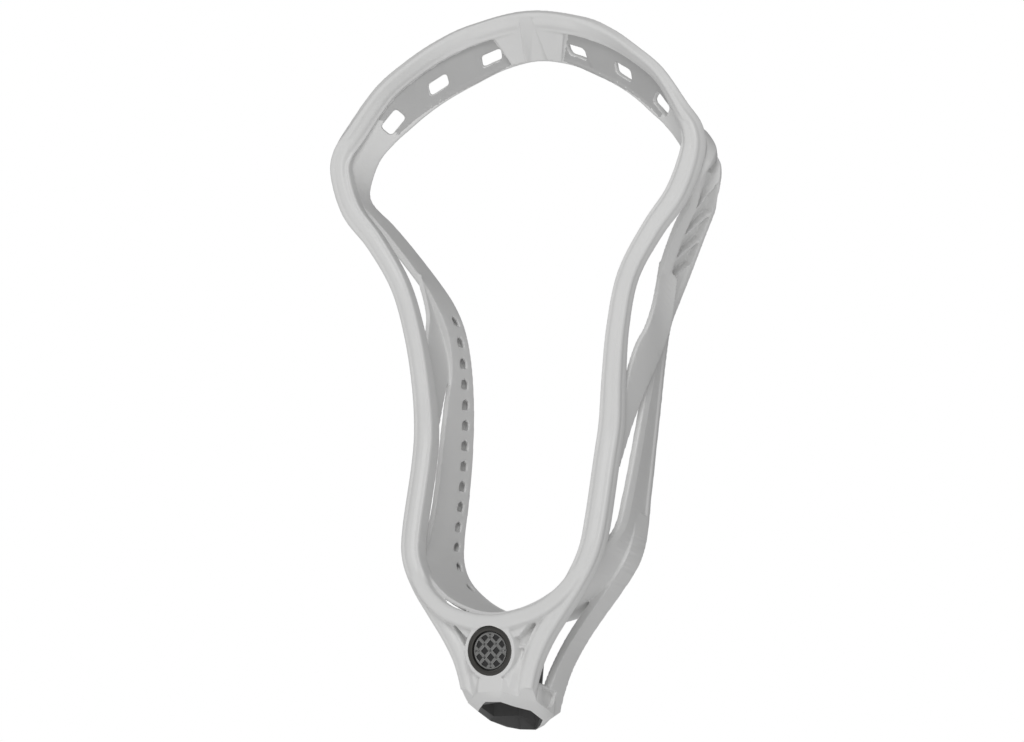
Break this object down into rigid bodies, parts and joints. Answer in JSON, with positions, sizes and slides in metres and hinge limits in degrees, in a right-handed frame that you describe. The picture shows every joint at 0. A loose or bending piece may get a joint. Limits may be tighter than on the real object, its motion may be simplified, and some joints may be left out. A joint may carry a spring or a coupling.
{
  "type": "lacrosse head",
  "caption": "Unstrung lacrosse head: flared scoop, open ribbed sidewalls, throat with an octagonal shaft socket and a round badge.",
  "frame": {"origin": "middle of the shaft socket's mouth, on the shaft's axis", "axes": "+Z along the shaft towards the scoop, -Y the front (ball) side, X across the head"},
  "size_m": [0.1846, 0.067, 0.312],
  "materials": {
    "nylon": "satin moulded nylon",
    "badge_metal": "dark satin",
    "badge_gloss": "black gloss",
    "emblem_metal": "dark satin with bright edges"
  },
  "bodies": {
    "root": {"scoop": "nylon", "right_sidewall": "nylon", "left_sidewall": "nylon", "throat": "nylon", "shaft_socket": "nylon", "badge_bezel": "badge_metal", "badge_plate": "badge_gloss", "badge_emblem": "emblem_metal"}
  },
  "joints": []
}
